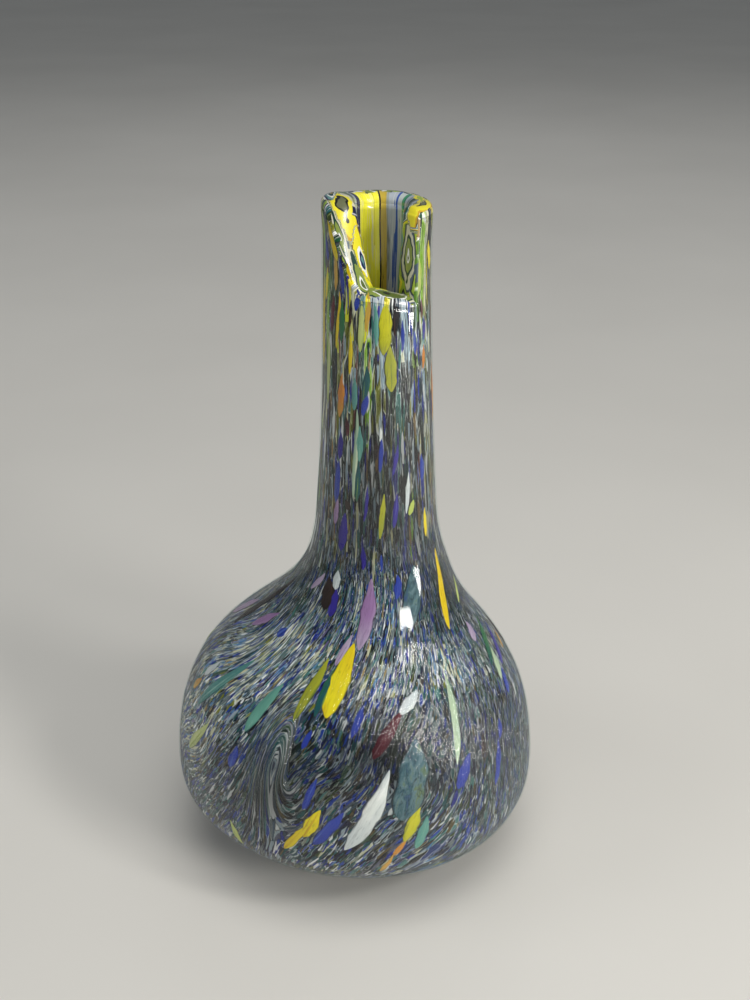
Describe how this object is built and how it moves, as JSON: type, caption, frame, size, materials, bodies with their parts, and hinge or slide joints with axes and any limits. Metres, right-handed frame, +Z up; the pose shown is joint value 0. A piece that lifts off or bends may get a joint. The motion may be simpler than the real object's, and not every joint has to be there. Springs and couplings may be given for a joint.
{
  "type": "hand blown art glass vase",
  "caption": "Small bud vase of layered art glass with a round belly, a tall narrow neck and a scooped mouth, for holding a stem or two in water.",
  "frame": {"origin": "on the table plane under the centre of the belly, which is the bottom centre of the whole vase's box", "axes": "+Z up along the neck, the mouth's scoop faces -Y, +X to the vase's right seen from the front; the neck stands off to +X"},
  "size_m": [0.0916, 0.0916, 0.1664],
  "materials": {
    "clear_lining": "clear, slightly grey-green, smooth inside",
    "frit_coat": "fine frit and slivers of many colours drawn out into streaks, under gloss",
    "clear_casing": "clear, fire polished, very glossy",
    "melted_lip": "melted layers, rounded and fire polished, in agate-like loops",
    "clear_base": "clear, ground flat underneath",
    "yellow_glass": "opaque golden yellow, glossy",
    "olive_glass": "opaque olive, glossy",
    "lilac_glass": "opaque lilac, glossy",
    "window_glass": "clear grey-blue, see-through",
    "brown_glass": "dense brown, nearly black",
    "maroon_glass": "dense maroon with a pale edge",
    "celadon_glass": "opaque celadon",
    "cobalt_glass": "dense cobalt blue",
    "white_glass": "opaque white, finely streaked",
    "teal_glass": "opaque teal to sea green",
    "lime_glass": "opaque lime to pale yellow-green",
    "indigo_glass": "dense indigo",
    "green_glass": "dense dark green",
    "amber_glass": "amber to orange"
  },
  "bodies": {
    "root": {"inner_gather": "clear_lining", "colour_coat": "frit_coat", "outer_casing": "clear_casing", "rim_lip": "melted_lip", "base_pad": "clear_base", "yellow_shards": "yellow_glass", "olive_shards": "olive_glass", "lilac_shards": "lilac_glass", "window_shards": "window_glass", "brown_shards": "brown_glass", "maroon_shards": "maroon_glass", "celadon_shards": "celadon_glass", "cobalt_shards": "cobalt_glass", "white_shards": "white_glass", "teal_shards": "teal_glass", "lime_shards": "lime_glass", "indigo_shards": "indigo_glass", "green_shards": "green_glass", "amber_shards": "amber_glass"}
  },
  "joints": []
}
